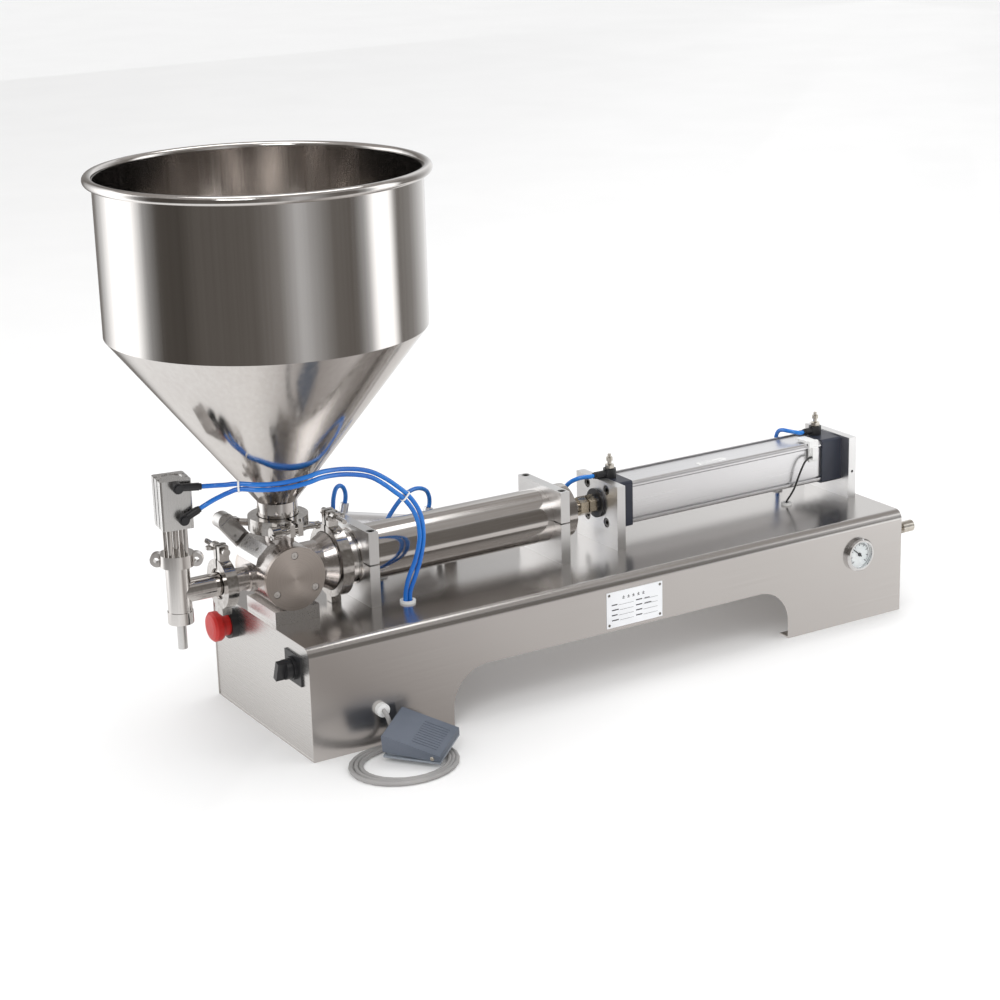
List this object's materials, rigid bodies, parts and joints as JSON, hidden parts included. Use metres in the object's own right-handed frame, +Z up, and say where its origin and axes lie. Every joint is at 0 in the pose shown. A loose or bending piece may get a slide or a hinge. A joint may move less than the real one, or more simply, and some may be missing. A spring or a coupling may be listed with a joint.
{
  "type": "piston liquid filling machine",
  "caption": "Bench-top pneumatic piston filler: conical hopper over a rotary valve, a material cylinder driven by an in-line air cylinder, a shut-off nozzle, a brushed base and a foot pedal.",
  "frame": {"origin": "on the floor straight under the hopper axis, inside the left foot of the base", "axes": "+X along the base from the hopper end to the air cylinder end, +Y to the back, +Z up"},
  "size_m": [1.1619, 0.4835, 0.723],
  "materials": {
    "brushed_casing": "lengthwise brushed, semi-bright",
    "end_panel": "brushed, satin",
    "label_sheet": "satin printed plate, left blank",
    "chrome": "bright",
    "needle_black": "matt",
    "clear_lens": "clear",
    "black_plastic": "satin",
    "red_plastic": "gloss",
    "nickel": "nickel plated",
    "white_plastic": "satin",
    "turned_steel": "turned, satin",
    "plain_steel": "milled",
    "cast_stainless": "cast, tumbled bright",
    "polished_tube": "polished stainless",
    "polished_hopper": "polished stainless sheet",
    "silicone": "translucent white silicone",
    "satin_aluminium": "fly cut, satin",
    "anodised_aluminium": "clear anodised",
    "dark_screw": "blackened",
    "white_piston": "machined white plastic",
    "zinc_nut": "yellow zinc plated",
    "piston_aluminium": "machined",
    "navy_paint": "dark navy, satin",
    "blue_tube": "polyurethane tube",
    "black_cable": "matt",
    "pedal_paint": "blue-grey hammer finish",
    "grey_cord": "matt grey sheath"
  },
  "bodies": {
    "machine": {"base_shell": "brushed_casing", "end_panels": "end_panel", "nameplate": "label_sheet", "gauge_case": "chrome", "gauge_lens": "clear_lens", "estop_collar": "black_plastic", "selector_plate": "black_plastic", "air_inlet": "nickel", "grommets": "white_plastic", "valve_pedestal": "turned_steel", "valve_body": "turned_steel", "valve_cover": "turned_steel", "valve_rear_plate": "turned_steel", "stop_bracket": "plain_steel", "actuator_bracket": "plain_steel", "nozzle_tee": "polished_tube", "nozzle_nut": "polished_tube", "nozzle_tip": "polished_tube", "nozzle_bonnet": "polished_tube", "nozzle_cylinder": "anodised_aluminium", "hopper": "polished_hopper", "hopper_clamp": "cast_stainless", "outlet_clamp": "cast_stainless", "cylinder_clamp": "cast_stainless", "clamp_gaskets": "silicone", "material_cylinder": "polished_tube", "split_block_bases": "satin_aluminium", "split_block_caps": "satin_aluminium", "socket_screws": "dark_screw", "rod_gland": "black_plastic", "air_end_plates": "satin_aluminium", "air_end_caps": "navy_paint", "air_barrel": "anodised_aluminium", "push_in_fittings": "black_plastic", "cylinder_sensor": "white_plastic", "air_tubes": "blue_tube", "sensor_cable": "black_cable", "air_valve_bank": "anodised_aluminium", "pedal_base": "pedal_paint", "pedal_cord": "grey_cord", "pedal_cord_coil": "grey_cord"},
    "pistons": {"material_piston": "white_piston", "rod_nuts": "zinc_nut", "piston_rod": "polished_tube", "air_piston": "piston_aluminium"},
    "valve_plug": {"valve_spool": "turned_steel", "valve_crank": "plain_steel"},
    "actuator": {"actuator_cylinder": "anodised_aluminium", "actuator_tubes": "blue_tube"},
    "actuator_rod": {"actuator_rod": "plain_steel"},
    "needle": {"nozzle_needle": "polished_tube"},
    "stop_button": {"estop_button": "red_plastic"},
    "selector": {"selector_knob": "black_plastic"},
    "gauge_pointer": {"gauge_needle": "needle_black"},
    "treadle": {"pedal_treadle": "pedal_paint"},
    "hopper_nut": {"hopper_clamp_nut": "cast_stainless"},
    "outlet_nut": {"outlet_wing_nut": "cast_stainless"},
    "cylinder_nut": {"cylinder_wing_nut": "cast_stainless"},
    "front_speed_screw": {"speed_screw_front": "nickel"},
    "rear_speed_screw": {"speed_screw_rear": "nickel"}
  },
  "joints": [
    {"name": "piston_slide", "type": "slide", "parent": "machine", "child": "pistons", "axis": [-1, 0, 0], "range_m": [0, 0.26]},
    {"name": "valve_turn", "type": "hinge", "parent": "machine", "child": "valve_plug", "pos_m": [0, 0, 0.207], "axis": [0, 1, 0], "range_deg": [0, 90]},
    {"name": "actuator_swing", "type": "hinge", "parent": "machine", "child": "actuator", "pos_m": [0.286, 0.078, 0.1834], "axis": [0, 1, 0], "range_deg": [0, 2.78]},
    {"name": "actuator_rod_slide", "type": "slide", "parent": "actuator", "child": "actuator_rod", "axis": [0.9733, 0, -0.2295], "range_m": [0, 0.0968]},
    {"name": "needle_lift", "type": "slide", "parent": "machine", "child": "needle", "axis": [0, 0, 1], "range_m": [0, 0.015], "stiffness_N_per_m": 600, "springref_m": -0.02},
    {"name": "stop_press", "type": "slide", "parent": "machine", "child": "stop_button", "axis": [1, 0, 0], "range_m": [0, 0.005], "stiffness_N_per_m": 1000, "springref_m": -0.002},
    {"name": "selector_turn", "type": "hinge", "parent": "machine", "child": "selector", "pos_m": [-0.036, -0.097, 0.114], "axis": [-1, 0, 0], "range_deg": [0, 90]},
    {"name": "gauge_turn", "type": "hinge", "parent": "machine", "child": "gauge_pointer", "pos_m": [0.835, -0.14, 0.1], "axis": [0, 1, 0], "range_deg": [0, 270]},
    {"name": "treadle_press", "type": "hinge", "parent": "machine", "child": "treadle", "pos_m": [0.10308, -0.21815, 0.01772], "axis": [-0.7739, -0.609, -0.1736], "range_deg": [0, 4], "stiffness_Nm_per_rad": 6, "springref_deg": -5.73},
    {"name": "hopper_nut_turn", "type": "hinge", "parent": "machine", "child": "hopper_nut", "pos_m": [-0.026, -0.0465, 0.274], "axis": [1, 0, 0], "range_deg": [0, 360]},
    {"name": "outlet_nut_turn", "type": "hinge", "parent": "machine", "child": "outlet_nut", "pos_m": [-0.081, 0.015, 0.251], "axis": [0, 1, 0], "range_deg": [0, 360]},
    {"name": "cylinder_nut_turn", "type": "hinge", "parent": "machine", "child": "cylinder_nut", "pos_m": [0.073, -0.015, 0.2685], "axis": [0, 1, 0], "range_deg": [0, 360]},
    {"name": "front_speed_turn", "type": "hinge", "parent": "machine", "child": "front_speed_screw", "pos_m": [0.506, 0, 0.26], "axis": [0, 0, 1], "range_deg": [0, 360]},
    {"name": "rear_speed_turn", "type": "hinge", "parent": "machine", "child": "rear_speed_screw", "pos_m": [0.867, 0, 0.26], "axis": [0, 0, 1], "range_deg": [0, 360]}
  ],
  "couplings": [
    {"joint": "actuator_swing", "follows": "valve_turn", "ratio": 0.030333},
    {"joint": "actuator_rod_slide", "follows": "valve_turn", "m_per_rad": 0.061497}
  ]
}
